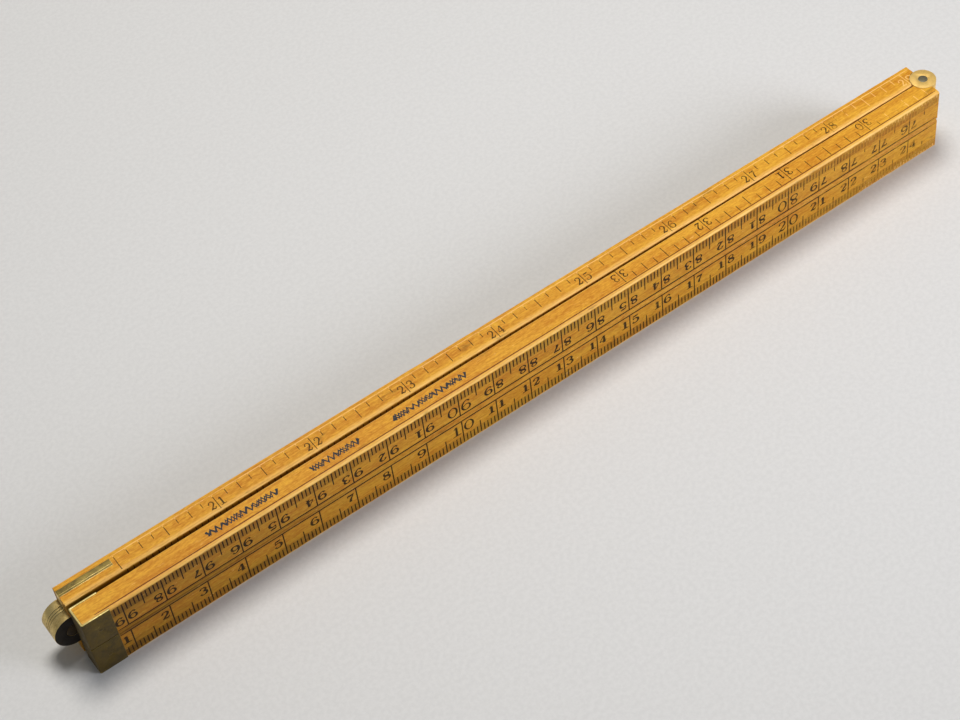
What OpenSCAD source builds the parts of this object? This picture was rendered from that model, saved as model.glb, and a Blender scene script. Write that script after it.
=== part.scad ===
// Four-fold wooden rule, folded up and standing on its narrow edges.
// Two pairs of legs lie one above the other. In each pair an inner leg and an outer leg
// fold together on a middle hinge, and a round joint at the other end joins the two pairs.
// X runs from the round joint to the middle hinges, Y from the outer legs to the inner
// legs, Z up. The origin is in the middle of the bounding box, at its bottom.

/* [Legs] */
// Length of rule carried by each leg
leg_length = 250; // [150:10:300]
// Width of a leg across its wide, numbered face
leg_width = 9.4; // [8:0.1:14]
// Thickness of a leg across its narrow edge
leg_thickness = 6.1; // [5.2:0.1:8]
// Flat taken off each long corner of a leg
corner_flat = 0.25; // [0.1:0.05:0.6]

/* [Gaps] */
// Gap between the upper and the lower pair of legs
pair_gap = 0.2; // [0.1:0.05:0.6]
// Gap between an inner and an outer leg when they are folded flat
fold_gap = 0.3; // [0.2:0.05:0.8]
// Gap from each leg's end to the line where two legs meet when opened
end_gap = 0.15; // [0.1:0.05:0.4]
// Degrees by which the outer legs stand open at rest
rest_open = 0.22; // [0:0.02:2]
// Radial play of a turning pin in its hole
pin_play = 0.04; // [0.02:0.01:0.1]
// Gap between a round brass part and the wood hollowed out for it
hollow_gap = 0.12; // [0.1:0.02:0.3]

/* [Round joint] */
// Radius of the round joint's discs
disc_radius = 4.8; // [4:0.1:6]
// Thickness of the lower leg's thick disc
near_disc = 2.5; // [1.5:0.1:3]
// Thickness of each thin disc
thin_disc = 0.6; // [0.4:0.05:0.8]
// Gap between neighbouring discs
disc_gap = 0.1; // [0.05:0.01:0.2]
// Length of the tongues let into the legs
tongue_length = 13.8; // [12:0.1:20]
// Thickness of a thick disc's tongue
tongue_thick = 1.4; // [1:0.1:1.6]
// Diameter of the rivet that the round joint turns on
joint_rivet_d = 2.4; // [1.6:0.1:3]
// Diameter of that rivet's flush heads
joint_head_d = 3.6; // [3.2:0.1:5]
// Thickness of that rivet's flush heads
joint_head_t = 0.5; // [0.3:0.1:0.8]
// Diameter of the rivets through each leg and its tongues
tongue_rivet_d = 1.2; // [0.8:0.1:1.6]

/* [Middle hinges] */
// Radius of the hinge knuckles
knuckle_radius = 3.35; // [2.6:0.05:4.2]
// Diameter of the hinge pins
hinge_pin_d = 2.4; // [1.4:0.1:3]
// Gap between neighbouring knuckles
knuckle_gap = 0.1; // [0.05:0.01:0.2]
// Length of a hinge leaf from the hinge line
leaf_length = 20; // [14:1:30]
// Thickness of a hinge leaf
leaf_thick = 0.8; // [0.5:0.1:1.2]
// Wood left beside a hinge leaf at each narrow edge
leaf_border = 1.1; // [0.6:0.1:2]
// Diameter of the hinge leaf rivets
leaf_rivet_d = 1.3; // [0.8:0.1:1.6]
// Depth of those rivets in the leg
leaf_rivet_depth = 3.4; // [2:0.1:4]

/* [Tips] */
// Length of the brass tips along the leg
tip_length = 7.1; // [5:0.1:12]
// Thickness of the tips' brass sheet
tip_thick = 0.5; // [0.3:0.05:0.8]
// Diameter of the pin through each tip
tip_pin_d = 1; // [0.8:0.1:1.6]

/* [Hidden] */
$fn = 64;
cut = 1;    // how far a cutting shape runs past the surface that it opens

height = 2 * leg_width + pair_gap;
axis_w = height / 2;                // round joint axis above the outer narrow edge
hinge_u = -fold_gap / 2;            // hinge axis, seen from a leg's folded face
hollow_disc = disc_radius + hollow_gap;
hollow_knuckle = knuckle_radius + hollow_gap;

// Layers of the round joint across the inner legs, each [start, end] from the folded face
near_layer = [0, near_disc];
upper_thin = [near_layer[1] + disc_gap, near_layer[1] + disc_gap + thin_disc];
lower_thin = [upper_thin[1] + disc_gap, upper_thin[1] + disc_gap + thin_disc];
far_layer = [lower_thin[1] + disc_gap, leg_thickness];
upper_tongue = [upper_thin[1], upper_thin[1] + tongue_thick];
lower_tongue = [lower_thin[0] - tongue_thick, lower_thin[0]];

// Knuckles: the inner leaf holds the two outside ones, the outer leaf the middle one
knuckle_h = (leg_width - 2 * knuckle_gap) / 3;
middle_knuckle = [knuckle_h + knuckle_gap, 2 * knuckle_h + knuckle_gap];

// Rivet places as [along the leg, from the outer narrow edge]
tongue_rivets = [for (part = [0.24, 0.56, 0.87]) [part * tongue_length, 0.26 * leg_width]];
leaf_rivets = [
    for (part = [0.34, 0.62, 0.88], side = [0, 1])
        if (side == (part == 0.62 ? 1 : 0))
            [leg_length - part * leaf_length, (side == 0 ? 0.33 : 0.67) * leg_width]
];
tip_pin_place = [0.55 * tip_length, leg_width / 2];

// The bounding box, which puts the origin in its middle
swing_y = (leg_length - end_gap) * sin(rest_open) + (leg_thickness - hinge_u) * cos(rest_open);
mid_x = (leg_length + knuckle_radius - disc_radius) / 2;
mid_y = (leg_thickness - hinge_u - swing_y) / 2;

wood = "goldenrod";
brass = "darkkhaki";
bright_brass = "gold";
steel = "dimgray";

// ---- Placing. A leg's own frame has x along it from the round joint, y from its folded
// face into the wood, and z from its outer narrow edge.

module in_pair(upper) {
    translate([-mid_x, -mid_y, upper ? height : 0])
        mirror([0, 0, upper ? 1 : 0]) children();
}

module on_inner_leg(upper = false) {
    in_pair(upper) translate([0, -hinge_u, 0]) children();
}

module on_outer_leg(upper = false) {
    in_pair(upper)
        translate([leg_length, 0, 0]) rotate([0, 0, rest_open]) translate([-leg_length, 0, 0])
            mirror([0, 1, 0]) translate([0, -hinge_u, 0]) children();
}

// ---- Shared shapes

// A round bar along Y between two depths
module bar_y(place, depths, d) {
    translate([place[0], depths[0], place[1]]) rotate([-90, 0, 0])
        cylinder(h = depths[1] - depths[0], d = d);
}

// A round bar along Z on the hinge line
module bar_z(heights, r) {
    translate([leg_length, hinge_u, heights[0]]) cylinder(h = heights[1] - heights[0], r = r);
}

// The bare wooden stick with its long corners flattened
module stick() {
    c = corner_flat;
    t = leg_thickness;
    w = leg_width;
    section = [[c, 0], [t - c, 0], [t, c], [t, w - c], [t - c, w], [c, w], [0, w - c], [0, c]];
    translate([end_gap, 0, 0]) rotate([90, 0, 90])
        linear_extrude(leg_length - 2 * end_gap) polygon(section);
}

// Everything taken out of a leg for its half of the middle hinge
module hinge_cuts() {
    bar_z([-cut, leg_width + cut], hollow_knuckle);
    translate([leg_length - leaf_length, -cut, leaf_border])
        cube([leaf_length + cut, leaf_thick + cut, leg_width - 2 * leaf_border]);
    for (place = leaf_rivets) bar_y(place, [0, leaf_rivet_depth], leaf_rivet_d);
}

module hinge_rivets() {
    for (place = leaf_rivets) bar_y(place, [0, leaf_rivet_depth], leaf_rivet_d);
}

module leaf_plate() {
    translate([leg_length - leaf_length, 0, leaf_border])
        cube([leaf_length, leaf_thick, leg_width - 2 * leaf_border]);
}

module leaf_rivet_holes() {
    for (place = leaf_rivets) bar_y(place, [-cut, leaf_thick + cut], leaf_rivet_d);
}

// The tongue slots and rivet holes, with the hollow for the discs
module round_joint_cuts(tongue, thin) {
    deep = [min(tongue[0], thin[0]), max(tongue[1], thin[1])];
    bar_y([0, axis_w], [-cut, leg_thickness + cut], 2 * hollow_disc);
    translate([0, deep[0], -cut])
        cube([tongue_length, deep[1] - deep[0], leg_width + 2 * cut]);
    for (place = tongue_rivets) bar_y(place, [-cut, leg_thickness + cut], tongue_rivet_d);
}

// A joint disc with its tongue. The tongue stays clear of the round of the next disc.
module disc_leaf(layer, tongue, bore, head = []) {
    difference() {
        union() {
            bar_y([0, axis_w], layer, 2 * disc_radius);
            difference() {
                translate([end_gap, tongue[0], 0])
                    cube([tongue_length - end_gap, tongue[1] - tongue[0], leg_width]);
                if (tongue[0] < layer[0])
                    bar_y([0, axis_w], [tongue[0] - cut, layer[0]], 2 * hollow_disc);
                if (tongue[1] > layer[1])
                    bar_y([0, axis_w], [layer[1], tongue[1] + cut], 2 * hollow_disc);
            }
        }
        bar_y([0, axis_w], [-cut, leg_thickness + cut], bore);
        if (len(head) > 0) bar_y([0, axis_w], [head[0], head[1]], head[2]);
        for (place = tongue_rivets) bar_y(place, [-cut, leg_thickness + cut], tongue_rivet_d);
    }
}

// ---- Wood

module inner_leg(tongue, thin) {
    difference() {
        stick();
        hinge_cuts();
        round_joint_cuts(tongue, thin);
    }
}

module outer_leg() {
    t = tip_thick;
    difference() {
        stick();
        hinge_cuts();
        translate([0, -cut, -cut]) cube([end_gap + t, leg_thickness + 2 * cut, leg_width + 2 * cut]);
        for (face = [-cut, leg_thickness - t])
            translate([0, face, -cut]) cube([end_gap + tip_length, t + cut, leg_width + 2 * cut]);
        bar_y(tip_pin_place, [0, leg_thickness], tip_pin_d);
    }
}

module lower_inner_leg() { color(wood) on_inner_leg() inner_leg(lower_tongue, lower_thin); }
module upper_inner_leg() { color(wood) on_inner_leg(true) inner_leg(upper_tongue, upper_thin); }
module lower_outer_leg() { color(wood) on_outer_leg() outer_leg(); }
module upper_outer_leg() { color(wood) on_outer_leg(true) outer_leg(); }

// ---- Tips: sheet brass bent round the end of each outer leg, with a flush pin

module tip() {
    t = tip_thick;
    difference() {
        translate([end_gap, 0, 0]) cube([tip_length, leg_thickness, leg_width]);
        translate([end_gap + t, t, -cut])
            cube([tip_length, leg_thickness - 2 * t, leg_width + 2 * cut]);
        bar_y(tip_pin_place, [-cut, leg_thickness + cut], tip_pin_d);
    }
}

module tip_pin() { bar_y(tip_pin_place, [0, leg_thickness], tip_pin_d); }

module lower_tip() { color(brass) on_outer_leg() tip(); }
module upper_tip() { color(brass) on_outer_leg(true) tip(); }
module lower_tip_pin() { color(brass) on_outer_leg() tip_pin(); }
module upper_tip_pin() { color(brass) on_outer_leg(true) tip_pin(); }

// ---- Round joint. Its rivet is tight in the lower leg's discs and the upper ones turn on it.

module lower_thick_disc() {
    color(brass) on_inner_leg()
        disc_leaf(near_layer, lower_tongue, joint_rivet_d, [-cut, joint_head_t, joint_head_d]);
}

module lower_thin_disc() {
    color(brass) on_inner_leg() disc_leaf(lower_thin, lower_thin, joint_rivet_d);
}

module upper_thin_disc() {
    color(brass) on_inner_leg(true)
        disc_leaf(upper_thin, upper_thin, joint_rivet_d + 2 * pin_play);
}

module upper_thick_disc() {
    seat = [leg_thickness - joint_head_t - pin_play, leg_thickness + cut, joint_head_d + 2 * pin_play];
    color(brass) on_inner_leg(true)
        disc_leaf(far_layer, upper_tongue, joint_rivet_d + 2 * pin_play, seat);
}

module round_joint_rivet() {
    color(steel) on_inner_leg() {
        bar_y([0, axis_w], [0, leg_thickness], joint_rivet_d);
        bar_y([0, axis_w], [0, joint_head_t], joint_head_d);
        bar_y([0, axis_w], [leg_thickness - joint_head_t, leg_thickness], joint_head_d);
    }
}

module tongue_rivet_set() {
    for (place = tongue_rivets) bar_y(place, [0, leg_thickness], tongue_rivet_d);
}

module lower_tongue_rivets() { color(brass) on_inner_leg() tongue_rivet_set(); }
module upper_tongue_rivets() { color(brass) on_inner_leg(true) tongue_rivet_set(); }

// ---- Middle hinges. The pin is tight in the inner leaf and the outer leaf turns on it.

module inner_leaf() {
    difference() {
        union() {
            difference() {
                leaf_plate();
                bar_z([middle_knuckle[0] - knuckle_gap, middle_knuckle[1] + knuckle_gap], hollow_knuckle);
            }
            bar_z([0, knuckle_h], knuckle_radius);
            bar_z([leg_width - knuckle_h, leg_width], knuckle_radius);
        }
        bar_z([-cut, leg_width + cut], hinge_pin_d / 2);
        leaf_rivet_holes();
    }
}

module outer_leaf() {
    difference() {
        union() {
            difference() {
                leaf_plate();
                bar_z([-cut, middle_knuckle[0]], hollow_knuckle);
                bar_z([middle_knuckle[1], leg_width + cut], hollow_knuckle);
            }
            bar_z(middle_knuckle, knuckle_radius);
        }
        bar_z([-cut, leg_width + cut], hinge_pin_d / 2 + pin_play);
        leaf_rivet_holes();
    }
}

module hinge_pin() { bar_z([0, leg_width], hinge_pin_d / 2); }

module lower_inner_leaf() { color(bright_brass) on_inner_leg() inner_leaf(); }
module lower_outer_leaf() { color(bright_brass) on_outer_leg() outer_leaf(); }
module lower_hinge_pin() { color(steel) on_inner_leg() hinge_pin(); }
module lower_inner_leaf_rivets() { color(brass) on_inner_leg() hinge_rivets(); }
module lower_outer_leaf_rivets() { color(brass) on_outer_leg() hinge_rivets(); }
module upper_inner_leaf() { color(bright_brass) on_inner_leg(true) inner_leaf(); }
module upper_outer_leaf() { color(bright_brass) on_outer_leg(true) outer_leaf(); }
module upper_hinge_pin() { color(steel) on_inner_leg(true) hinge_pin(); }
module upper_inner_leaf_rivets() { color(brass) on_inner_leg(true) hinge_rivets(); }
module upper_outer_leaf_rivets() { color(brass) on_outer_leg(true) hinge_rivets(); }

lower_inner_leg();
upper_inner_leg();
lower_outer_leg();
upper_outer_leg();
lower_tip();
upper_tip();
lower_tip_pin();
upper_tip_pin();
lower_thick_disc();
lower_thin_disc();
upper_thin_disc();
upper_thick_disc();
round_joint_rivet();
lower_tongue_rivets();
upper_tongue_rivets();
lower_inner_leaf();
lower_outer_leaf();
lower_hinge_pin();
lower_inner_leaf_rivets();
lower_outer_leaf_rivets();
upper_inner_leaf();
upper_outer_leaf();
upper_hinge_pin();
upper_inner_leaf_rivets();
upper_outer_leaf_rivets();
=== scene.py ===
import math
import random

import bpy
from mathutils import Matrix, Vector


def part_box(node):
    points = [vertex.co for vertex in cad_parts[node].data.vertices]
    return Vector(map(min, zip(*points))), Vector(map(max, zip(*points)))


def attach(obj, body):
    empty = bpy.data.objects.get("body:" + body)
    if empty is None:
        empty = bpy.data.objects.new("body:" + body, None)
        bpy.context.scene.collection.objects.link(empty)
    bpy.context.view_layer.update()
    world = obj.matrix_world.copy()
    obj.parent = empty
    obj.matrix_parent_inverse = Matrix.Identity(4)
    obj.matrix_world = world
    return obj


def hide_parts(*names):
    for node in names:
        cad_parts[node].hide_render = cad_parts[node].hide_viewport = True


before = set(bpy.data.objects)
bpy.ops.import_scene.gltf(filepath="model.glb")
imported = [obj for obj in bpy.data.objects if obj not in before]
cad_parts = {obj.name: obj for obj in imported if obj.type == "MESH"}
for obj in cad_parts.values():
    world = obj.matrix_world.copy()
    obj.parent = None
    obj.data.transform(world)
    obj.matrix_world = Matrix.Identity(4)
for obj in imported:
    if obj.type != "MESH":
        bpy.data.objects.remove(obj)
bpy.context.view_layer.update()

mm = 0.001
print("frame loaded:", len(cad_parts), "CAD nodes")

# The stick that every leg is made from, in mm, as in the CAD. A resized rule needs these changed too.
legValues = {
    "length": 250.0,        # from the round joint, or the tips, to the hinge line
    "width": 9.4,           # across the wide face
    "thick": 6.1,           # across the narrow edge
    "slot": 1.7,            # from a wide face to the nearer tongue slot in an inner leg's end
    "halfFold": 0.15,       # hinge line to the folded face
    "restTurn": 0.22,       # degrees the outer legs stand open
    "inset": 0.02,          # wood below the CAD surface, which leaves room for ink
    "arrisRound": 0.1,
    "endRound": 0.14,
    "nearArris": 0.32,      # how far from an arris the wood wears
    "stations": 1.6,        # spacing of the cuts that let the arrises wear unevenly
    "arrisWear": 0.16,
}
legNames = ("lower_inner", "upper_inner", "lower_outer", "upper_outer")

pinLow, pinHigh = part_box("lower_hinge_pin")
hinge = Vector(((pinLow.x + pinHigh.x) / 2, (pinLow.y + pinHigh.y) / 2, 0))
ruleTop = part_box("upper_inner_leg")[1].z
legStart = hinge.x - legValues["length"] * mm


# Small helpers for work done as by hand

def deselectAll():
    if bpy.context.object and bpy.context.object.mode != "OBJECT":
        bpy.ops.object.mode_set(mode="OBJECT")
    bpy.ops.object.select_all(action="DESELECT")


def makeActive(piece):
    deselectAll()
    piece.select_set(True)
    bpy.context.view_layer.objects.active = piece


def editAll(piece):
    makeActive(piece)
    bpy.ops.object.mode_set(mode="EDIT")
    bpy.ops.mesh.select_mode(type="VERT")
    bpy.ops.mesh.select_all(action="SELECT")


def editSelected(piece, kind, test):
    # test is given a point, an edge's two points, or a face's centre and normal
    makeActive(piece)
    bpy.ops.object.mode_set(mode="EDIT")
    bpy.ops.mesh.select_mode(type=kind)
    bpy.ops.mesh.select_all(action="DESELECT")
    bpy.ops.object.mode_set(mode="OBJECT")
    points = piece.data.vertices
    if kind == "VERT":
        for point in points:
            point.select = test(point.co)
    elif kind == "EDGE":
        for edge in piece.data.edges:
            edge.select = test(*[points[i].co for i in edge.vertices])
    else:
        for face in piece.data.polygons:
            face.select = test(face.center, face.normal)
    bpy.ops.object.mode_set(mode="EDIT")


def backToObject():
    bpy.ops.object.mode_set(mode="OBJECT")


def applyModifier(piece, kind, **settings):
    makeActive(piece)
    modifier = piece.modifiers.new(kind.lower(), kind)
    for key, value in settings.items():
        setattr(modifier, key, value)
    bpy.ops.object.modifier_apply(modifier=modifier.name)


def joinPieces(parts, name):
    makeActive(parts[0])
    for part in parts[1:]:
        part.select_set(True)
    if len(parts) > 1:
        bpy.ops.object.join()
    joined = bpy.context.object
    joined.name = joined.data.name = name
    return joined


def copyOf(original, name, place=None):
    twin = bpy.data.objects.new(name, original.data.copy())
    bpy.context.scene.collection.objects.link(twin)
    if place is not None:
        twin.data.transform(place)
    return twin


def copyOfNode(nodeName, name):
    # A CAD node's mesh is loose triangles, so the copy is merged before it is worked on
    piece = copyOf(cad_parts[nodeName], name)
    piece.data.materials.clear()
    editAll(piece)
    bpy.ops.mesh.remove_doubles(threshold=0.000002)
    bpy.ops.mesh.dissolve_limited(angle_limit=math.radians(0.4))
    backToObject()
    if piece.data.has_custom_normals:
        bpy.ops.mesh.customdata_custom_splitnormals_clear()
    return piece


def shrinkPiece(piece, depth):
    # Takes depth, in mm, off the whole surface
    editAll(piece)
    bpy.ops.transform.shrink_fatten(value=-depth * mm, use_even_offset=True)
    backToObject()


def finishPiece(piece, body, material, nodes=(), angle=35):
    makeActive(piece)
    bpy.ops.object.shade_smooth_by_angle(angle=math.radians(angle))
    piece.data.materials.clear()
    piece.data.materials.append(material)
    if nodes:
        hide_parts(*nodes)
    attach(piece, body)


# Where a leg lies. Its own frame, in mm: x along it from the round joint,
# y from its folded face into the wood, z from its outer narrow edge.

def isUpper(leg):
    return leg.startswith("upper")


def isOuter(leg):
    return leg.endswith("outer")


def legSigns(leg):
    # Which way the leg's own y and z run
    return (-1 if isOuter(leg) else 1), (-1 if isUpper(leg) else 1)


def standOpen(leg):
    if not isOuter(leg):
        return Matrix.Identity(4)
    return (Matrix.Translation(hinge)
            @ Matrix.Rotation(math.radians(legValues["restTurn"]), 4, "Z")
            @ Matrix.Translation(-hinge))


def legCorner(leg, x):
    # The outer edge of the folded face, at this place along the rule
    side = legSigns(leg)[0]
    return Vector((x, hinge.y + side * legValues["halfFold"] * mm, ruleTop if isUpper(leg) else 0))


def legPlace(leg):
    side, flip = legSigns(leg)
    start = Matrix.Translation(legCorner(leg, legStart))
    return standOpen(leg) @ start @ Matrix.Diagonal((mm, side * mm, flip * mm, 1))


# Node groups

def newGroup(name, inputs, outputs):
    group = bpy.data.node_groups.new(name, "ShaderNodeTree")
    kinds = {"v": "NodeSocketVector", "f": "NodeSocketFloat", "c": "NodeSocketColor"}
    for socketName, kind, value in inputs:
        socket = group.interface.new_socket(socketName, in_out="INPUT", socket_type=kinds[kind])
        if value is not None:
            socket.default_value = value
    for socketName, kind in outputs:
        group.interface.new_socket(socketName, in_out="OUTPUT", socket_type=kinds[kind])
    return group, group.nodes.new("NodeGroupInput").outputs


def giveOut(tree, values):
    out = tree.nodes.new("NodeGroupOutput")
    for key, value in values.items():
        tree.links.new(value, out.inputs[key])


def putValue(tree, socket, value):
    if hasattr(value, "is_output"):
        tree.links.new(value, socket)
    elif value is not None:
        socket.default_value = value


def addNode(tree, kind, inputs=None, **settings):
    node = tree.nodes.new("ShaderNode" + kind)
    for key, value in settings.items():
        setattr(node, key, value)
    for key, value in (inputs or {}).items():
        putValue(tree, node.inputs[key], value)
    return node


def calc(tree, operation, first, second=None, clamp=False):
    node = addNode(tree, "Math", operation=operation, use_clamp=clamp)
    for socket, value in zip(node.inputs, (first, second)):
        putValue(tree, socket, value)
    return node.outputs[0]


def plus(tree, first, second, clamp=False):
    return calc(tree, "ADD", first, second, clamp)


def minus(tree, first, second, clamp=False):
    return calc(tree, "SUBTRACT", first, second, clamp)


def times(tree, first, second, clamp=False):
    return calc(tree, "MULTIPLY", first, second, clamp)


def fade(tree, value, low, high, outLow=0.0, outHigh=1.0):
    node = addNode(tree, "MapRange", interpolation_type="SMOOTHSTEP",
                   inputs={0: value, 1: low, 2: high, 3: outLow, 4: outHigh})
    return node.outputs[0]


def noise(tree, vector, scale, detail=2.0, rough=0.5, distort=0.0):
    node = addNode(tree, "TexNoise", inputs={"Vector": vector, "Scale": scale, "Detail": detail,
                                             "Roughness": rough, "Distortion": distort})
    return node.outputs["Fac"]


def stretch(tree, vector, scale, shift=(0, 0, 0)):
    node = addNode(tree, "Mapping", inputs={"Vector": vector, "Scale": scale, "Location": shift})
    return node.outputs[0]


def mixColour(tree, share, first, second):
    node = addNode(tree, "Mix", data_type="RGBA")
    for index, value in ((0, share), (6, first), (7, second)):
        putValue(tree, node.inputs[index], value)
    return node.outputs[2]


def rgb(red, green, blue):
    # A colour picked as 0 to 255 on screen, turned to linear light
    def linear(part):
        part /= 255
        return part / 12.92 if part < 0.04045 else ((part + 0.055) / 1.055) ** 2.4
    return (linear(red), linear(green), linear(blue), 1)


# How often each effect in the wood repeats per mm along, into and across a leg
grainValues = {
    "drift": (0.022, 0.25, 0.25), "streak": (0.055, 1.7, 1.7), "fibre": (0.25, 7.0, 7.0),
    "mottle": (0.35, 0.8, 0.8), "fleck": (0.9, 2.6, 2.6), "pores": (0.42, 2.3, 2.3),
    "stain": (0.11, 0.3, 0.3), "scuff": (0.3, 1.3, 1.3),
}
# Where each band of wear, dirt and painted shade fades in or out, in mm
bandValues = {
    "rubbed": (0.2, 0.62), "pale": (0.5, 1.3), "outerEdge": (0.1, 0.5), "seam": (8.2, 9.2),
    "scaleFrom": (0.45, 0.85), "scaleTo": (3.1, 3.5),
    "endShadeArris": (-5.0, 45.0), "endShadeFace": (-10.0, 110.0), "endShadeSeam": (0.0, 110.0),
    "wideFace": (0.15, 0.3), "tickRoots": (0.5, 2.0), "figures": (3.3, 4.5),    # figures keep more ink
}


def woodGroup():
    # Old boxwood: dense, with short fine fibres, rubbed pale on its arrises and
    # dull where the scales catch dirt, and with painted shade towards the round-joint end. Vector is the
    # leg's own frame in mm.
    tree, ins = newGroup("oldBoxwood", [
        ("Vector", "v", None), ("Seed", "f", 0.0),
        ("Light wood", "c", rgb(228, 171, 50)), ("Dark wood", "c", rgb(190, 118, 18)),
        ("Rubbed wood", "c", rgb(247, 200, 112)), ("Dirt", "c", rgb(84, 54, 4)),
        ("Dirt in scale", "f", 0.3), ("Rubbed arris", "f", 0.9), ("Soiled face", "f", 0.3),
        ("Painted end shade", "f", 0.0), ("Pale side", "f", 0.0),
    ], [("Colour", "c"), ("Roughness", "f"), ("Height", "f")])
    vector, seed, bands = ins["Vector"], ins["Seed"], bandValues
    shift = addNode(tree, "CombineXYZ", inputs={
        0: times(tree, seed, 37.0), 1: seed, 2: times(tree, seed, 11.0)}).outputs[0]
    moved = addNode(tree, "VectorMath", operation="ADD", inputs={0: vector, 1: shift}).outputs[0]
    along, depth, across = addNode(tree, "SeparateXYZ", inputs={0: vector}).outputs

    # Broad colour drift, long streaks and fine fibres
    drift = noise(tree, stretch(tree, moved, grainValues["drift"]), 1.0, 3.0)
    streak = noise(tree, stretch(tree, moved, grainValues["streak"]), 1.0, 4.0, 0.6, 0.3)
    fibre = noise(tree, stretch(tree, moved, grainValues["fibre"]), 1.0, 3.0, 0.65)
    mottle = noise(tree, stretch(tree, moved, grainValues["mottle"]), 1.0, 4.0, 0.6)
    fleck = noise(tree, stretch(tree, moved, grainValues["fleck"]), 1.0, 3.0, 0.6)
    tone = plus(tree, times(tree, drift, 0.45), times(tree, streak, 0.42))
    tone = plus(tree, tone, times(tree, mottle, 0.25))
    tone = plus(tree, tone, times(tree, minus(tree, fleck, 0.5), 0.5))
    colour = mixColour(tree, fade(tree, tone, 0.36, 0.74), ins["Dark wood"], ins["Light wood"])
    colour = mixColour(tree, fade(tree, fibre, 0.42, 0.7, 0.0, 0.34), colour, ins["Dark wood"])

    # Small dark pores lying along the grain
    pores = addNode(tree, "TexVoronoi", feature="F1",
                    inputs={"Vector": stretch(tree, moved, grainValues["pores"]), "Scale": 1.0})
    poreMask = fade(tree, pores.outputs["Distance"], 0.08, 0.19, 1.0, 0.0)
    poreMask = times(tree, poreMask, fade(tree, mottle, 0.5, 0.66))
    colour = mixColour(tree, times(tree, poreMask, 0.5), colour, ins["Dirt"])

    # Distance from the nearest arris along the surface, and the rubbed band there
    depthEdge = calc(tree, "MINIMUM", depth, minus(tree, legValues["thick"], depth))
    acrossEdge = calc(tree, "MINIMUM", across, minus(tree, legValues["width"], across))
    arris = calc(tree, "MAXIMUM", times(tree, depthEdge, 1.5), times(tree, across, 0.85))
    ragged = plus(tree, arris, times(tree, minus(tree, mottle, 0.5), 0.9))
    rubbed = times(tree, fade(tree, ragged, *bands["rubbed"], 1.0, 0.0), ins["Rubbed arris"])
    rubbed = times(tree, rubbed, fade(tree, streak, 0.38, 0.62, 0.62, 1.0))
    # Painted shade: the rubbed band is dimmed towards the round-joint end
    arrisEndShade = times(tree, ins["Painted end shade"], fade(tree, along, *bands["endShadeArris"], 1.7, 0.0))
    rubbed = times(tree, rubbed, minus(tree, 1.0, arrisEndShade, clamp=True))

    # Dirt among the ticks on the wide faces, soiling over the whole of them, and painted shade on them
    # towards the round-joint end
    onWide = calc(tree, "GREATER_THAN", acrossEdge, depthEdge)
    inStrip = times(tree, fade(tree, across, *bands["scaleFrom"]),
                    fade(tree, across, *bands["scaleTo"], 1.0, 0.0))
    grime = times(tree, times(tree, inStrip, onWide),
                  times(tree, ins["Dirt in scale"], fade(tree, streak, 0.3, 0.62, 0.55, 1.25)))
    soilAndEndShade = plus(tree, ins["Soiled face"],
                   times(tree, ins["Painted end shade"], fade(tree, along, *bands["endShadeFace"], 1.0, 0.0)))
    faceSoilAndShade = times(tree, times(tree, onWide, soilAndEndShade), fade(tree, drift, 0.3, 0.7, 0.6, 1.2))
    colour = mixColour(tree, plus(tree, grime, faceSoilAndShade, clamp=True), colour, ins["Dirt"])
    colour = mixColour(tree, rubbed, colour, ins["Rubbed wood"])

    # The outer narrow edge is handled most on one side, and paler there. The seam band is
    # darkened with the Dirt colour as painted shade, most at the round-joint end.
    fromSide = calc(tree, "ABSOLUTE", minus(tree, depth, ins["Pale side"]))
    fromSide = plus(tree, fromSide, minus(tree, mottle, 0.5))
    pale = times(tree, fade(tree, fromSide, *bands["pale"], 0.42, 0.0),
                 fade(tree, across, *bands["outerEdge"], 1.0, 0.0))
    colour = mixColour(tree, pale, colour, ins["Rubbed wood"])
    seam = times(tree, fade(tree, across, *bands["seam"]), fade(tree, along, *bands["endShadeSeam"], 1.0, 0.0))
    colour = mixColour(tree, times(tree, seam, ins["Painted end shade"]), colour, ins["Dirt"])

    # Stains and pale scuffs
    stain = noise(tree, stretch(tree, moved, grainValues["stain"], (5, 3, 8)), 1.0, 5.0, 0.62)
    colour = mixColour(tree, fade(tree, stain, 0.6, 0.74, 0.0, 0.42), colour, ins["Dirt"])
    scuff = noise(tree, stretch(tree, moved, grainValues["scuff"], (2, 9, 4)), 1.0, 5.0, 0.7)
    colour = mixColour(tree, fade(tree, scuff, 0.62, 0.74, 0.0, 0.5), colour, ins["Rubbed wood"])

    rough = plus(tree, 0.42, times(tree, streak, 0.2))
    rough = plus(tree, rough, times(tree, poreMask, 0.2))
    height = plus(tree, times(tree, fibre, 0.5), times(tree, mottle, 0.6))
    height = minus(tree, height, times(tree, poreMask, 0.7))
    giveOut(tree, {"Colour": colour, "Roughness": rough, "Height": height})
    return tree


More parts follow.
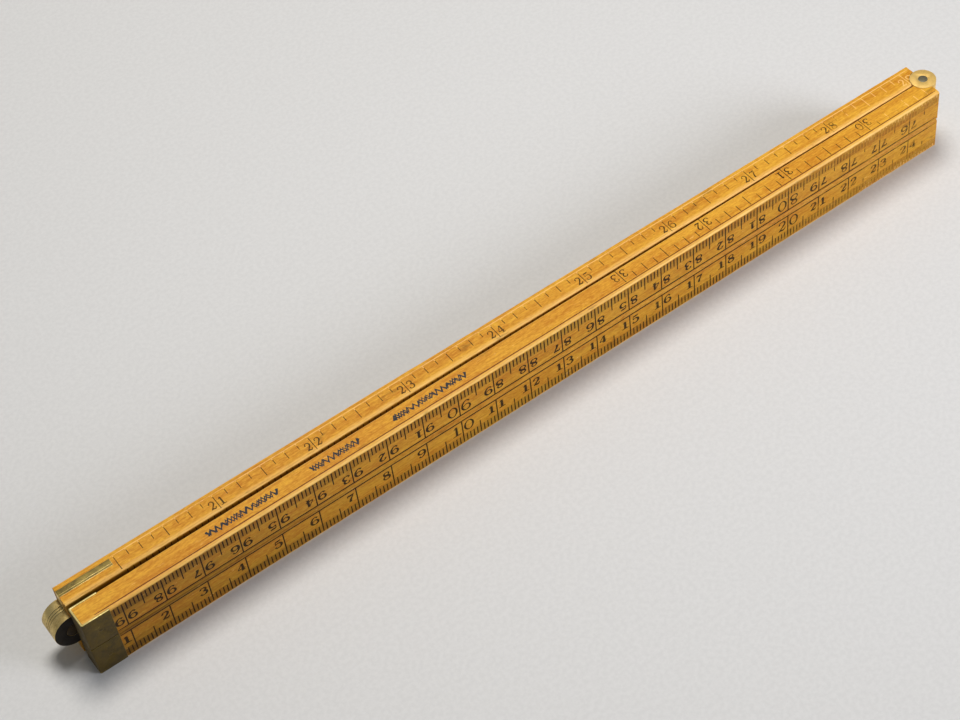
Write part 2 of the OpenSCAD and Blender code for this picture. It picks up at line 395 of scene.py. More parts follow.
def inkGroup():
    # Ink left in the scribed marks: broken up everywhere, and rubbed away towards one end
    tree, ins = newGroup("scribedInk", [
        ("Vector", "v", None), ("Wood", "c", None), ("Ink", "c", rgb(30, 18, 4)),
        ("Bare cut", "c", rgb(250, 205, 128)), ("Strength", "f", 0.9), ("Broken", "f", 0.3),
        ("Worn from", "f", 200.0), ("Worn to", "f", 250.0), ("End wear", "f", 0.3),
        ("Rubbed beyond", "f", 9.0),
    ], [("Colour", "c"), ("Roughness", "f")])
    along, depth, across = addNode(tree, "SeparateXYZ", inputs={0: ins["Vector"]}).outputs
    patch = noise(tree, stretch(tree, ins["Vector"], (0.28, 0.5, 0.5)), 1.0, 3.0, 0.6)
    grain = noise(tree, stretch(tree, ins["Vector"], (2.0, 4.0, 4.0)), 1.0, 2.0, 0.6)
    ending = fade(tree, along, ins["Worn from"], ins["Worn to"], 0.0, ins["End wear"])
    ending = times(tree, ending, fade(tree, across, *bandValues["figures"], 1.0, 0.5))
    nearArris = times(tree, fade(tree, across, *bandValues["wideFace"]),
                      fade(tree, across, *bandValues["tickRoots"], 0.24, 0.0))
    ending = plus(tree, ending, nearArris)
    loss = plus(tree, times(tree, ins["Broken"], fade(tree, patch, 0.38, 0.72)), ending)
    loss = plus(tree, loss, times(tree, minus(tree, grain, 0.5), 0.5))
    beyond = minus(tree, depth, ins["Rubbed beyond"])
    loss = plus(tree, loss, fade(tree, plus(tree, beyond, patch), 0.25, 0.75, 0.0, 0.75))
    left = times(tree, fade(tree, loss, 0.15, 0.75, 1.0, 0.0), ins["Strength"])
    bare = mixColour(tree, fade(tree, loss, 0.55, 0.9, 0.0, 0.6), ins["Wood"], ins["Bare cut"])
    colour = mixColour(tree, left, bare, ins["Ink"])
    rough = plus(tree, 0.42, times(tree, patch, 0.25))
    giveOut(tree, {"Colour": colour, "Roughness": rough})
    return tree


def brassGroup():
    # Brass handled for years: brown film over yellow metal, rubbed bright on its edges
    tree, ins = newGroup("oldBrass", [
        ("Bright", "c", rgb(236, 200, 110)), ("Film", "c", rgb(120, 92, 40)),
        ("Dark film", "c", rgb(48, 36, 20)), ("Tarnish", "f", 0.5),
        ("Edge shine", "f", 0.8), ("Edge size", "f", 0.18 * mm), ("Seed", "f", 0.0),
    ], [("Colour", "c"), ("Roughness", "f"), ("Metallic", "f"), ("Height", "f")])
    place = addNode(tree, "TexCoord").outputs["Object"]
    shift = addNode(tree, "CombineXYZ", inputs={0: ins["Seed"], 1: ins["Seed"], 2: 0.0}).outputs[0]
    place = addNode(tree, "VectorMath", operation="MULTIPLY_ADD",
                    inputs={0: place, 1: (1000, 1000, 1000), 2: shift}).outputs[0]
    cloud = noise(tree, place, 0.35, 5.0, 0.62)
    spot = noise(tree, place, 1.9, 4.0, 0.7)
    scratch = noise(tree, stretch(tree, place, (0.6, 5.0, 7.0)), 1.0, 2.0, 0.7)
    film = plus(tree, times(tree, cloud, 0.65), times(tree, spot, 0.4))
    film = plus(tree, film, minus(tree, ins["Tarnish"], 0.5))
    colour = mixColour(tree, fade(tree, film, 0.32, 0.66), ins["Bright"], ins["Film"])
    colour = mixColour(tree, fade(tree, film, 0.62, 0.9), colour, ins["Dark film"])
    normal = addNode(tree, "NewGeometry").outputs["Normal"]
    bevel = addNode(tree, "Bevel", samples=4, inputs={"Radius": ins["Edge size"]}).outputs[0]
    flat = addNode(tree, "VectorMath", operation="DOT_PRODUCT", inputs={0: normal, 1: bevel}).outputs["Value"]
    edge = fade(tree, plus(tree, flat, times(tree, spot, 0.04)), 0.93, 1.0, 1.0, 0.0)
    edge = times(tree, edge, ins["Edge shine"])
    colour = mixColour(tree, edge, colour, ins["Bright"])
    rough = plus(tree, 0.36, times(tree, fade(tree, film, 0.3, 0.9), 0.28))
    rough = plus(tree, rough, times(tree, scratch, 0.1))
    covered = times(tree, fade(tree, film, 0.35, 0.9), minus(tree, 1.0, edge, clamp=True))
    metallic = minus(tree, 1.0, covered, clamp=True)
    metallic = plus(tree, 0.25, times(tree, metallic, 0.75))
    height = plus(tree, times(tree, scratch, 0.5), times(tree, spot, 0.35))
    giveOut(tree, {"Colour": colour, "Roughness": rough, "Metallic": metallic, "Height": height})
    return tree


groups = {"wood": woodGroup(), "ink": inkGroup(), "brass": brassGroup()}


def newMaterial(name):
    material = bpy.data.materials.new(name)
    material.use_nodes = True
    tree = material.node_tree
    tree.nodes.clear()
    shader = tree.nodes.new("ShaderNodeBsdfPrincipled")
    out = tree.nodes.new("ShaderNodeOutputMaterial")
    tree.links.new(shader.outputs[0], out.inputs[0])
    return material, tree, shader


def placeGroup(tree, kind, values):
    node = tree.nodes.new("ShaderNodeGroup")
    node.node_tree = groups[kind]
    for key, value in values.items():
        putValue(tree, node.inputs[key], value)
    return node


def linkLooks(tree, group, shader):
    for output, socket in (("Colour", "Base Color"), ("Roughness", "Roughness"), ("Metallic", "Metallic")):
        if output in group.outputs:
            tree.links.new(group.outputs[output], shader.inputs[socket])


def addBump(tree, shader, height, strength, depth):
    # depth is in mm
    bump = addNode(tree, "Bump", inputs={"Strength": strength, "Distance": depth * mm, "Height": height})
    tree.links.new(bump.outputs[0], shader.inputs["Normal"])


def legVector(tree, leg):
    # Turns Object coordinates into the leg's own frame in mm
    side, flip = legSigns(leg)
    turn = math.radians(legValues["restTurn"]) if isOuter(leg) else 0
    node = addNode(tree, "Mapping", inputs={
        "Vector": addNode(tree, "TexCoord").outputs["Object"], "Scale": (1000, 1000 * side, 1000 * flip),
        "Rotation": (0, 0, turn), "Location": legPlace(leg).inverted().translation})
    return node.outputs[0]


# What differs from leg to leg: their wood, dirt, painted end shade and ink
# Painted end shade stands for the light falling off towards the round-joint end
innerWood = {"Dirt in scale": 0.22, "Soiled face": 0.12, "Painted end shade": 0.15}
outerWood = {"Dirt in scale": 0.24, "Soiled face": 0.1, "Painted end shade": 0.56, "Pale side": legValues["thick"]}
woodLooks = {
    "lower_inner": {"Seed": 3.1, **innerWood},
    "upper_inner": {"Seed": 7.7, **innerWood},
    "lower_outer": {"Seed": 1.3, **outerWood},
    "upper_outer": {"Seed": 5.2, **outerWood},
}
inkLooks = {
    "lower_inner": {"Strength": 0.92, "Broken": 0.3, "End wear": 0.2},
    "upper_inner": {"Strength": 0.9, "Broken": 0.25, "Worn from": 215.0, "Worn to": 240.0, "End wear": 1.1},
    "lower_outer": {"Strength": 0.95, "Broken": 0.3, "Worn from": 170.0, "End wear": 0.5},
    "upper_outer": {"Strength": 0.96, "Broken": 0.25, "Worn from": 165.0, "Worn to": 245.0, "End wear": 0.48},
    "upper_inner_edge": {"Rubbed beyond": 4.25, "Broken": 0.4},
    "upper_outer_edge": {"Broken": 0.45, "Worn from": 222.0, "Worn to": 243.0, "End wear": 0.7},
    "upper_outer_edge_line": {"Ink": rgb(98, 42, 8), "Broken": 0.12, "End wear": 0.2},
    "owner_zigzags": {"Ink": rgb(52, 53, 54), "Strength": 1.0, "Broken": 0.12, "End wear": 0.0},
}


def woodMaterial(leg):
    material, tree, shader = newMaterial("boxwood_" + leg)
    wood = placeGroup(tree, "wood", {"Vector": legVector(tree, leg), **woodLooks[leg]})
    linkLooks(tree, wood, shader)
    shader.inputs["Specular IOR Level"].default_value = 0.2
    addBump(tree, shader, wood.outputs["Height"], 0.35, 0.06)
    return material


def inkMaterial(name, leg):
    material, tree, shader = newMaterial("ink_" + name)
    vector = legVector(tree, leg)
    wood = placeGroup(tree, "wood", {"Vector": vector, **woodLooks[leg]})
    ink = placeGroup(tree, "ink", {"Vector": vector, "Wood": wood.outputs["Colour"],
                                   **inkLooks[leg], **inkLooks.get(name, {})})
    linkLooks(tree, ink, shader)
    shader.inputs["Specular IOR Level"].default_value = 0.15
    addBump(tree, shader, wood.outputs["Height"], 0.3, 0.05)
    return material


def metalMaterial(name, values):
    material, tree, shader = newMaterial(name)
    metal = placeGroup(tree, "brass", values)
    linkLooks(tree, metal, shader)
    addBump(tree, shader, metal.outputs["Height"], 0.25, 0.04)
    return material


# Each metal's film, from its rubbed edges to its darkest places
metalLooks = {
    # The tip's sides are dark partly from film and partly as painted shade; its outer face below is paler,
    # partly from wear and partly as painted light
    "tipBrassFilmAndShade": {"Bright": rgb(222, 196, 104), "Film": rgb(92, 74, 20), "Dark film": rgb(62, 48, 12),
                 "Tarnish": 0.7, "Edge shine": 0.22},
    "tipEdgeWearAndLight": {"Bright": rgb(238, 222, 160), "Film": rgb(196, 176, 104), "Dark film": rgb(120, 98, 44),
                "Tarnish": 0.52, "Edge shine": 0.7, "Seed": 2.0},
    "tipPin": {"Bright": rgb(150, 128, 66), "Film": rgb(88, 70, 22), "Dark film": rgb(60, 46, 12),
               "Tarnish": 0.72, "Edge shine": 0.1, "Seed": 9.0},
    "tongueBrass": {"Bright": rgb(206, 184, 112), "Film": rgb(146, 126, 58), "Dark film": rgb(92, 76, 30),
                    "Tarnish": 0.7, "Edge shine": 0.6, "Seed": 7.0},
    "discBrass": {"Bright": rgb(242, 216, 146), "Film": rgb(180, 152, 88), "Dark film": rgb(84, 66, 30),
                  "Tarnish": 0.44, "Edge shine": 0.85, "Seed": 3.0},
    "jointRivet": {"Bright": rgb(120, 100, 56), "Film": rgb(60, 46, 22), "Dark film": rgb(34, 26, 12),
                   "Tarnish": 0.7, "Edge shine": 0.4, "Seed": 1.0},
    # Painted shade: the discs' flat faces, the near face and those in the gaps, are darkened as if in shadow
    "discFaceShade": {"Bright": rgb(120, 96, 44), "Film": rgb(48, 34, 12), "Dark film": rgb(26, 18, 8),
                 "Tarnish": 0.8, "Edge shine": 0.5, "Seed": 4.0},
    "knuckleBrass": {"Bright": rgb(240, 212, 142), "Film": rgb(224, 186, 104), "Dark film": rgb(150, 116, 52),
                     "Tarnish": 0.6, "Edge shine": 0.8, "Seed": 8.0},
    "rivetBrass": {"Bright": rgb(206, 168, 88), "Film": rgb(126, 98, 46), "Dark film": rgb(60, 46, 24),
                   "Tarnish": 0.55, "Edge shine": 0.6, "Seed": 5.0},
    "pinSteel": {"Bright": rgb(176, 172, 150), "Film": rgb(104, 98, 76), "Dark film": rgb(52, 46, 36),
                 "Tarnish": 0.6, "Edge shine": 0.5, "Seed": 6.0},
}
metals = {name: metalMaterial(name, values) for name, values in metalLooks.items()}
print("materials made")


# Wood: each leg starts as a merged copy of its CAD node

def shapeLeg(leg):
    values = legValues
    piece = copyOfNode(leg + "_leg", leg + "_wood")
    toLeg = legPlace(leg).inverted()

    def near(point):
        # How far along, and how far from the nearer wide face and narrow edge
        x, y, z = toLeg @ point
        return x, min(y, values["thick"] - y), min(z, values["width"] - z)

    shrinkPiece(piece, values["inset"])

    def longArris(first, second):
        a, b = near(first), near(second)
        return abs(a[0] - b[0]) > 1.0 and max(*a[1:], *b[1:]) < 0.3

    editSelected(piece, "EDGE", longArris)
    bpy.ops.mesh.bevel(offset=values["arrisRound"] * mm, segments=2, profile=0.5)
    backToObject()

    def endCorner(first, second):
        # The tongue slots in an inner leg's end are left sharp
        a, b = near(first), near(second)
        atHinge = min(a[0], b[0]) > values["length"] - 0.4
        atJoint = not isOuter(leg) and max(a[0], b[0]) < 0.4 and max(a[1], b[1]) < values["slot"]
        straight = min(abs(a[1] - b[1]), abs(a[2] - b[2])) < 0.02
        return (atHinge or atJoint) and straight and max(min(a[1:]), min(b[1:])) < 0.05

    editSelected(piece, "EDGE", endCorner)
    bpy.ops.mesh.bevel(offset=values["endRound"] * mm, segments=2, profile=0.5, clamp_overlap=True)
    backToObject()

    # Cuts along the leg, so that the arrises can wear unevenly between them
    for cut in range(1, math.ceil(values["length"] / values["stations"])):
        editAll(piece)
        middle = legPlace(leg) @ Vector((cut * values["stations"], 3, 5))
        bpy.ops.mesh.bisect(plane_co=middle, plane_no=(1, 0, 0))
    backToObject()

    worn = piece.vertex_groups.new(name="arris")
    chosen = [v.index for v in piece.data.vertices if max(near(v.co)[1:]) < values["nearArris"]]
    worn.add(chosen, 1.0, "REPLACE")
    clouds = bpy.data.textures.new("wear_" + leg, "CLOUDS")
    clouds.noise_scale = 0.0045
    clouds.noise_depth = 3
    applyModifier(piece, "DISPLACE", texture=clouds, texture_coords="LOCAL", vertex_group="arris",
                  strength=values["arrisWear"] * mm, mid_level=1.0)
    piece.vertex_groups.clear()
    finishPiece(piece, leg, woodMaterial(leg), [leg + "_leg"], angle=32)


for leg in legNames:
    shapeLeg(leg)
print("legs shaped")


# Scales. A mark is laid out flat in mm: x as the scale reads, y up from the edge that
# the figures stand towards, z out of the wood. facePlace then lays it on a face of a leg,
# and says whether the scale reads away from the round joint.

def facePlace(leg, face):
    side, flip = legSigns(leg)
    if face == "edge":       # outer narrow edge, figures standing on the folded side
        up, out = Vector((0, side, 0)), Vector((0, 0, -flip))
    elif face == "wide":     # the face seen when the rule is folded
        up, out = Vector((0, 0, flip)), Vector((0, side, 0))
    else:                    # the face that is folded away
        up, out = Vector((0, 0, flip)), Vector((0, -side, 0))
    reads = up.cross(out)
    corner = legCorner(leg, legStart if reads.x > 0 else hinge.x)
    if face == "wide":
        corner.y += side * legValues["thick"] * mm
    axes = Matrix((reads, up, out)).transposed().to_4x4()
    return standOpen(leg) @ Matrix.Translation(corner) @ axes @ Matrix.Scale(mm, 4), reads.x > 0


inkValues = {
    "low": -0.07,          # bottom of a mark, below the CAD surface
    "high": -0.009,        # its top, just proud of the wood
    "figureLevel": -0.02,
    "figureFlat": 0.03,    # how much a figure's strokes are flattened
}


def thinBar(x, y, long, wide):
    # A bar from just under the surface to just proud of the wood
    low, high = inkValues["low"], inkValues["high"]
    deselectAll()
    bpy.ops.mesh.primitive_cube_add(size=1, location=(x, y, (low + high) / 2), scale=(long, wide, high - low))
    bpy.ops.object.transform_apply(location=True, rotation=True, scale=True)
    return bpy.context.object


def scribedMark(x, y0, y1, width, taper=0.72):
    # One cut of the knife, narrowed at the end where the knife lifts
    mark = thinBar(x, (y0 + y1) / 2, width, y1 - y0)
    editSelected(mark, "FACE", lambda centre, normal: normal.y > 0.9)
    bpy.ops.transform.resize(value=(taper, 1, 1), center_override=(x, y1, 0))
    backToObject()
    return mark


def repeatMark(mark, count, step):
    applyModifier(mark, "ARRAY", count=count, use_relative_offset=False, use_constant_offset=True,
                  constant_offset_displace=(step, 0, 0))
    return mark


def trimMarks(piece, lowX, highX):
    editSelected(piece, "VERT", lambda point: point.x < lowX - 0.05 or point.x > highX + 0.05)
    bpy.ops.mesh.delete(type="VERT")
    backToObject()


# Figures in a bold engraver's style, as strokes of (across, up, half width)
figureStrokes = {
    "0": [[(.38, 1, .04), (.66, .82, .075), (.75, .5, .105), (.66, .18, .075), (.38, 0, .04),
           (.1, .18, .075), (.01, .5, .105), (.1, .82, .075), "closed"]],
    "1": [[(.39, .98, .1), (.39, .5, .11), (.39, .02, .11)],
          [(.14, .78, .03), (.24, .86, .05), (.38, .98, .07)],
          [(.02, .02, .04), (.39, .03, .05), (.76, .02, .04)]],
    "2": [[(.12, .72, .1), (.12, .88, .06), (.36, 1, .045), (.64, .88, .08), (.66, .68, .105),
           (.44, .4, .08), (.06, .05, .045)],
          [(.05, .05, .05), (.3, .1, .09), (.56, .03, .08), (.76, .26, .035)]],
    "3": [[(.1, .78, .09), (.16, .94, .055), (.38, 1, .045), (.62, .88, .09), (.62, .66, .085),
           (.34, .54, .04)],
          [(.34, .54, .04), (.66, .44, .09), (.7, .18, .1), (.4, 0, .045), (.14, .06, .06),
           (.06, .22, .095)]],
    "4": [[(.5, .99, .05), (.28, .64, .04), (.02, .29, .045)],
          [(.02, .27, .045), (.4, .27, .05), (.8, .27, .045)],
          [(.54, .99, .08), (.55, .5, .1), (.55, .02, .105)],
          [(.34, .02, .035), (.55, .03, .04), (.76, .02, .035)]],
    "5": [[(.14, .97, .05), (.4, .93, .085), (.7, .99, .05)],
          [(.14, .96, .04), (.12, .76, .035), (.1, .54, .045)],
          [(.1, .52, .04), (.36, .64, .05), (.66, .52, .09), (.72, .28, .105), (.58, .05, .07),
           (.34, 0, .045), (.12, .07, .065), (.07, .2, .09)]],
    "6": [[(.68, .82, .09), (.6, .95, .055), (.4, 1, .045), (.14, .8, .075), (.02, .45, .105),
           (.12, .12, .08), (.38, 0, .045), (.68, .12, .085), (.73, .34, .09), (.6, .54, .06),
           (.36, .58, .04), (.1, .42, .04)]],
    "7": [[(.06, .76, .035), (.12, .95, .07), (.38, .9, .09), (.7, .98, .05)],
          [(.72, .98, .05), (.5, .62, .06), (.34, .32, .1), (.3, .03, .12)]],
    "8": [[(.38, 1, .04), (.14, .9, .07), (.12, .7, .08), (.38, .54, .1), (.68, .38, .1),
           (.68, .12, .08), (.38, 0, .04), (.08, .12, .065), (.08, .36, .06), (.38, .54, .05),
           (.62, .7, .06), (.62, .9, .06), "closed"]],
}
figureStrokes["9"] = [[(.76 - x, 1 - y, w) for x, y, w in figureStrokes["6"][0]]]


def newStroke(name, depth):
    curve = bpy.data.curves.new(name, "CURVE")
    curve.dimensions = "3D"
    curve.bevel_depth = depth
    curve.bevel_resolution = 0
    curve.use_fill_caps = True
    return curve


def strokeToMesh(curve):
    drawn = bpy.data.objects.new(curve.name, curve)
    bpy.context.scene.collection.objects.link(drawn)
    makeActive(drawn)
    bpy.ops.object.convert(target="MESH")
    drawn = bpy.context.object
    editAll(drawn)
    bpy.ops.mesh.remove_doubles(threshold=0.0005)
    bpy.ops.mesh.normals_make_consistent(inside=False)
    backToObject()
    return drawn


def drawFigure(figure, weight):
    # Curve strokes of changing width, one unit high, that layFigure presses flat
    curve = newStroke("figure" + figure, weight)
    curve.resolution_u = 2
    for stroke in figureStrokes[figure]:
        closed = stroke[-1] == "closed"
        points = stroke[:-1] if closed else stroke
        spline = curve.splines.new("BEZIER")
        spline.bezier_points.add(len(points) - 1)
        spline.use_cyclic_u = closed
        for knot, (x, y, width) in zip(spline.bezier_points, points):
            knot.co = (x - 0.38, y, 0)
            knot.radius = width
            knot.handle_left_type = knot.handle_right_type = "AUTO"
    return strokeToMesh(curve)


figures = {weight: {figure: drawFigure(figure, size) for figure in figureStrokes}
           for weight, size in (("bold", 1.35), ("fine", 0.95))}
print("figures drawn")


def layFigure(figure, weight, x, shape):
    level = Matrix.Translation((x, shape["y"], inkValues["figureLevel"]))
    size = Matrix.Diagonal((shape["wide"], shape["high"], shape["high"] * inkValues["figureFlat"], 1))
    return copyOf(figures[weight][figure], "figure", level @ size)


def layNumber(number, weight, x, shape):
    # Two figures stand either side of the line at x, and a single one before it
    text, parts = str(number), []
    for figure, side in zip(text, (-1, 1)):
        narrow = 0.85 if figure == "1" and len(text) == 2 else 1.0
        away = shape["gap"] + shape["wide"] * 0.42 * narrow
        parts.append(layFigure(figure, weight, x + side * away, shape))
    return parts


# Metric scale: millimetres in from one arris, a line at each ten, figures inside a long border line
metricValues = {
    "first": 0.62, "mm": 3.15, "five": 4.85, "ten": 8.4,    # where the marks start, and how far they reach
    "tickWidth": 0.38, "lineWidth": 0.34, "border": 8.45, "borderWidth": 0.42,
    "figures": {"y": 4.72, "high": 2.45, "wide": 2.5, "gap": 0.6},
    "tens": {"y": 4.25, "high": 3.2, "wide": 3.1, "gap": 0.6},
    "figureRoom": 2.55,     # least distance from a number's line to an end of the scale
}
# Unit scales for the outer edges and the folded faces. Reach is for the whole, half, quarter,
# eighth and sixteenth marks.
unitValues = {
    "unit": 25.739, "tickWidth": 0.2, "borderWidth": 0.26,
    "figureRoom": (2.4, 1.5),   # least distance from a number's line to the start and end
    "edge": {"reach": (0.3, 1.4, 2.2, 2.85), "first": 4.78, "border": 4.85, "weight": "fine",
             "figures": {"y": 0.95, "high": 2.35, "wide": 1.9, "gap": 0.5}},
    "folded": {"reach": (8.45, 4.6, 3.7, 2.9, 2.2), "first": 0.62, "border": 8.45, "weight": "bold",
               "figures": {"y": 4.7, "high": 2.5, "wide": 2.4, "gap": 0.65}},
}


def borderLine(fromX, toX, y, width):
    # A long scribed line, narrowed over its last 3 mm
    line = thinBar((fromX + toX) / 2, y, toX - fromX, width)
    for cut in (fromX + 3, (fromX + toX) / 2, toX - 3):
        editAll(line)
        bpy.ops.mesh.bisect(plane_co=(cut, 0, 0), plane_no=(1, 0, 0))
    editSelected(line, "FACE", lambda centre, normal: abs(normal.x) > 0.9)
    bpy.ops.transform.resize(value=(1, 0.5, 1), center_override=(0, y, 0))
    backToObject()
    return line


def placeMarks(parts, name, leg, face):
    piece = joinPieces(parts, name)
    piece.data.transform(facePlace(leg, face)[0])
    finishPiece(piece, leg, inkMaterial(name.removesuffix("_scale"), leg), angle=20)


def reachOf(leg, face, limits):
    # The same limits, counted the way the scale on this face reads
    forward = facePlace(leg, face)[1]
    return limits if forward else (legValues["length"] - limits[1], legValues["length"] - limits[0])


def metricScale(leg, startNumber, limits):
    values = metricValues
    low, high = reachOf(leg, "wide", limits)
    ticks = [scribedMark(i, values["first"], values["mm"], values["tickWidth"])
             for i in range(1, 10) if i != 5]
    ticks.append(scribedMark(5, values["first"], values["five"], values["tickWidth"]))
    ticks.append(scribedMark(10, values["first"], values["ten"], values["lineWidth"], taper=1.0))
    parts = [repeatMark(joinPieces(ticks, "ticks"), 25, 10)]
    trimMarks(parts[0], low, high)
    parts.append(borderLine(low, high, values["border"], values["borderWidth"]))
    for step in range(1, 25):
        number, x = startNumber + step, step * 10
        if x < low + values["figureRoom"] or (x > high - values["figureRoom"] and number > 9):
            continue
        if number % 10 == 0:
            parts += layNumber(number, "fine", x, values["tens"])
        else:
            parts += layNumber(number, "bold", x, values["figures"])
    placeMarks(parts, leg + "_wide_scale", leg, "wide")


def unitScale(leg, face, startMm, limits, divisions):
    values, kind, unit = unitValues, unitValues[face], unitValues["unit"]
    low, high = reachOf(leg, face, limits)
    firstCount = math.ceil((startMm + low) / unit * divisions)
    lastCount = int((startMm + high) / unit * divisions)
    parts = []
    for count in range(firstCount, lastCount + 1):
        x = count * unit / divisions - startMm
        level = next(i for i in range(5) if count * 2 ** i % divisions == 0)
        reach = kind["reach"][level]
        if face == "edge":
            parts.append(scribedMark(x, reach, kind["first"], values["tickWidth"], taper=1.0))
        else:
            parts.append(scribedMark(x, kind["first"], reach, values["tickWidth"]))
        if level == 0 and low + values["figureRoom"][0] < x < high - values["figureRoom"][1]:
            parts += layNumber(count // divisions, kind["weight"], x, kind["figures"])
    if (leg, face) != ("upper_outer", "edge"):      # that edge has its own long line
        parts.append(borderLine(low, high, kind["border"], values["borderWidth"]))
    placeMarks(parts, leg + "_" + face + "_scale", leg, face)


# Where each scale starts on the opened rule, and which part of the leg it covers
metricScale("lower_outer", 0, (7.35, 249.4))
metricScale("upper_outer", 75, (7.35, 249.4))
metricScale("upper_inner", 50, (5.6, 249.4))
metricScale("lower_inner", 25, (5.6, 249.4))
unitScale("upper_inner", "edge", 500, (14.3, 249.4), 8)
unitScale("upper_outer", "edge", 750, (149.0, 249.4), 8)
unitScale("lower_inner", "edge", 250, (14.3, 249.4), 8)
unitScale("lower_outer", "edge", 0, (7.6, 249.4), 8)
unitScale("upper_outer", "folded", 0, (7.6, 229.4), 16)
unitScale("upper_inner", "folded", 250, (14.3, 229.4), 16)
unitScale("lower_inner", "folded", 500, (14.3, 229.4), 16)
unitScale("lower_outer", "folded", 750, (7.6, 229.4), 16)
for drawnFigures in figures.values():
    for template in drawnFigures.values():
        bpy.data.objects.remove(template)

# The long line beside the front arris, and an owner's zigzags in blue-black ink
ownerValues = {
    "line": (0.7, 246.0), "lineY": 5.08, "lineWidth": 0.26,
    "runs": ((145.0, 166.0), (175.0, 188.0), (197.0, 216.0)),
    "pitches": (1.34, 1.62),    # each run was gone over twice
    "middle": 2.75, "swing": 0.76, "halfWidth": 0.3,
    "unevenSwing": (0.7, 1.15), "unevenPitch": 0.18, "unevenWidth": (0.8, 1.25),
    "level": -0.0205, "flat": 0.04,
}


def drawZigzag(start, end, pitch, draw):
    values = ownerValues
    curve = newStroke("zigzag", values["halfWidth"])
    spline = curve.splines.new("POLY")
    count = int((end - start) / pitch * 2)
    spline.points.add(count)
    for i, knot in enumerate(spline.points):
        reach = values["swing"] * draw.uniform(*values["unevenSwing"]) * (1 if i % 2 else -1)
        x = start + i * pitch / 2 + draw.uniform(-values["unevenPitch"], values["unevenPitch"])
        knot.co = (x, values["middle"] + reach, 0, 1)
        knot.radius = draw.uniform(*values["unevenWidth"])
    drawn = strokeToMesh(curve)
    pressed = Matrix.Diagonal((1, 1, values["flat"], 1))
    drawn.data.transform(Matrix.Translation((0, 0, values["level"])) @ pressed)
    return drawn


draw = random.Random(11)
zigzags = [drawZigzag(*run, pitch, draw) for run in ownerValues["runs"] for pitch in ownerValues["pitches"]]
placeMarks(zigzags, "owner_zigzags", "upper_outer", "edge")
line = borderLine(*ownerValues["line"], ownerValues["lineY"], ownerValues["lineWidth"])
placeMarks([line], "upper_outer_edge_line", "upper_outer", "edge")
print("scales scribed")


# Brass and steel: merged copies with their edges broken, in mm

metalValues = {
    "breaks": {"leaf": 0.07, "pin": 0.05, "disc": 0.2, "hingePin": 0.12, "jointRivet": 0.08, "tip": 0.09},
    "breakAngle": 40,
    "inset": 0.004,         # metal below the CAD surface
    "tipBend": 0.4,
}


def breakEdges(piece, kind):
    applyModifier(piece, "BEVEL", width=metalValues["breaks"][kind] * mm, segments=2, limit_method="ANGLE",
                  angle_limit=math.radians(metalValues["breakAngle"]))


def metalPiece(node, body, material, kind):
    piece = copyOfNode(node, node + "_metal")
    shrinkPiece(piece, metalValues["inset"])
    breakEdges(piece, kind)
    finishPiece(piece, body, metals[material], [node], angle=40)
    return piece


def coatFaces(piece, material, test):
    # Gives the faces that pass the test another material, for a different film and for painted shade and
    # light
    piece.data.materials.append(metals[material])
    for face in piece.data.polygons:
        if test(face):
            face.material_index = len(piece.data.materials) - 1


def shapeTip(level):
    # Sheet brass bent round the leg's end: its two bends are rounded
    node, body = level + "_tip", level + "_outer"
    piece = copyOfNode(node, node + "_metal")
    toLeg = legPlace(body).inverted()

    def atBend(first, second):
        a, b = toLeg @ first, toLeg @ second
        fromMiddle = min(abs(point.y - legValues["thick"] / 2) for point in (a, b))
        return abs(a.z - b.z) > 5 and max(a.x, b.x) < 0.3 and fromMiddle > 2.9

    editSelected(piece, "EDGE", atBend)
    bpy.ops.mesh.bevel(offset=metalValues["tipBend"] * mm, segments=4, profile=0.5)
    backToObject()
    breakEdges(piece, "tip")
    finishPiece(piece, body, metals["tipBrassFilmAndShade"], [node], angle=40)
    # The outer narrow face gets a paler copy of the brass, partly rubbed wear and partly painted light
    coatFaces(piece, "tipEdgeWearAndLight", lambda face: abs(face.normal.z) > 0.95 and (toLeg @ face.center).z < 1)


for level in ("lower", "upper"):
    inner, outer = level + "_inner", level + "_outer"
    shapeTip(level)
    metalPiece(level + "_tip_pin", outer, "tipPin", "pin")
    for node in ("_thick_disc", "_thin_disc"):
        disc = metalPiece(level + node, inner, "discBrass", "disc")
        # The flat faces of each disc get the dark painted shade
        coatFaces(disc, "discFaceShade", lambda face: abs(face.normal.y) > 0.95)
        coatFaces(disc, "tongueBrass", lambda face: abs(face.normal.z) > 0.95 and face.area > 4 * mm * mm)
    metalPiece(level + "_tongue_rivets", inner, "rivetBrass", "pin")
    for side, body in (("inner", inner), ("outer", outer)):
        metalPiece(f"{level}_{side}_leaf", body, "knuckleBrass", "leaf")
        metalPiece(f"{level}_{side}_leaf_rivets", body, "rivetBrass", "pin")
    metalPiece(level + "_hinge_pin", inner, "pinSteel", "hingePin")
metalPiece("round_joint_rivet", "lower_inner", "jointRivet", "jointRivet")
print("brass and steel fitted")


# Floor, light and camera

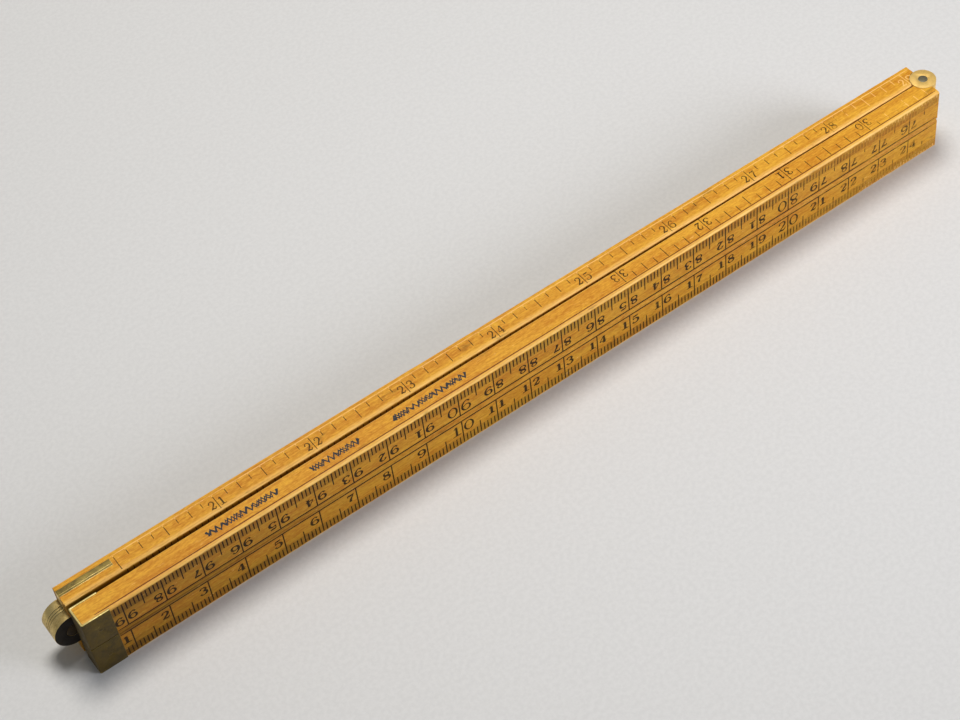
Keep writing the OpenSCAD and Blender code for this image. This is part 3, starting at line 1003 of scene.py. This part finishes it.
studioValues = {
    "floorSize": 6.0, "floorColour": rgb(206, 205, 202), "speckColour": rgb(212, 211, 208),
    "worldColour": (0.93, 0.96, 1.0, 1), "worldStrength": 0.2,
    # Place, aim, size, power, colour, and spread in degrees
    "keyLight": ((0.10, 0.22, 0.88), (0.0, 0.0, 0.0), 0.40, 6.0, (1.0, 0.97, 0.93), 180),
    "sideLight": ((0.55, -0.62, 0.36), (0.112, 0.0, 0.005), 0.40, 0.65, (0.98, 1.01, 1.14), 60),
    # The camera's place in mm, and its turn in degrees
    "cameraPlace": (-174.98, -287.2, 409.61), "cameraTurn": (39.681, 5.334, -35.757), "lens": 82.384,
}

deselectAll()
bpy.ops.mesh.primitive_plane_add(size=studioValues["floorSize"], location=(0, 0, 0))
floor = bpy.context.object
floor.name = "studioFloor"
floorMaterial, tree, shader = newMaterial("paleFloor")
place = addNode(tree, "TexCoord").outputs["Object"]
speck = noise(tree, place, 900.0, 3.0, 0.6)
shader.inputs["Roughness"].default_value = 0.62
tree.links.new(mixColour(tree, fade(tree, speck, 0.3, 0.7), studioValues["floorColour"],
                         studioValues["speckColour"]), shader.inputs["Base Color"])
addBump(tree, shader, speck, 0.08, 0.2)
floor.data.materials.append(floorMaterial)

world = bpy.data.worlds.new("studioAir")
bpy.context.scene.world = world
world.use_nodes = True
background = world.node_tree.nodes["Background"]
background.inputs["Color"].default_value = studioValues["worldColour"]
background.inputs["Strength"].default_value = studioValues["worldStrength"]


def addSoftLight(name):
    place, aim, size, power, colour, spread = studioValues[name]
    deselectAll()
    bpy.ops.object.light_add(type="AREA", location=place)
    lamp = bpy.context.object
    lamp.name = name
    lamp.data.shape = "DISK"
    lamp.data.size, lamp.data.energy, lamp.data.color = size, power, colour
    lamp.data.spread = math.radians(spread)
    lamp.rotation_euler = (Vector(aim) - Vector(place)).to_track_quat("-Z", "Y").to_euler()


addSoftLight("keyLight")
addSoftLight("sideLight")

deselectAll()
bpy.ops.object.camera_add(location=[value * mm for value in studioValues["cameraPlace"]],
                          rotation=[math.radians(value) for value in studioValues["cameraTurn"]])
camera = bpy.context.object
camera.data.lens = studioValues["lens"]
camera.data.clip_start = 0.01
bpy.context.scene.camera = camera
bpy.context.scene.view_settings.view_transform = "Standard"
print("studio set")
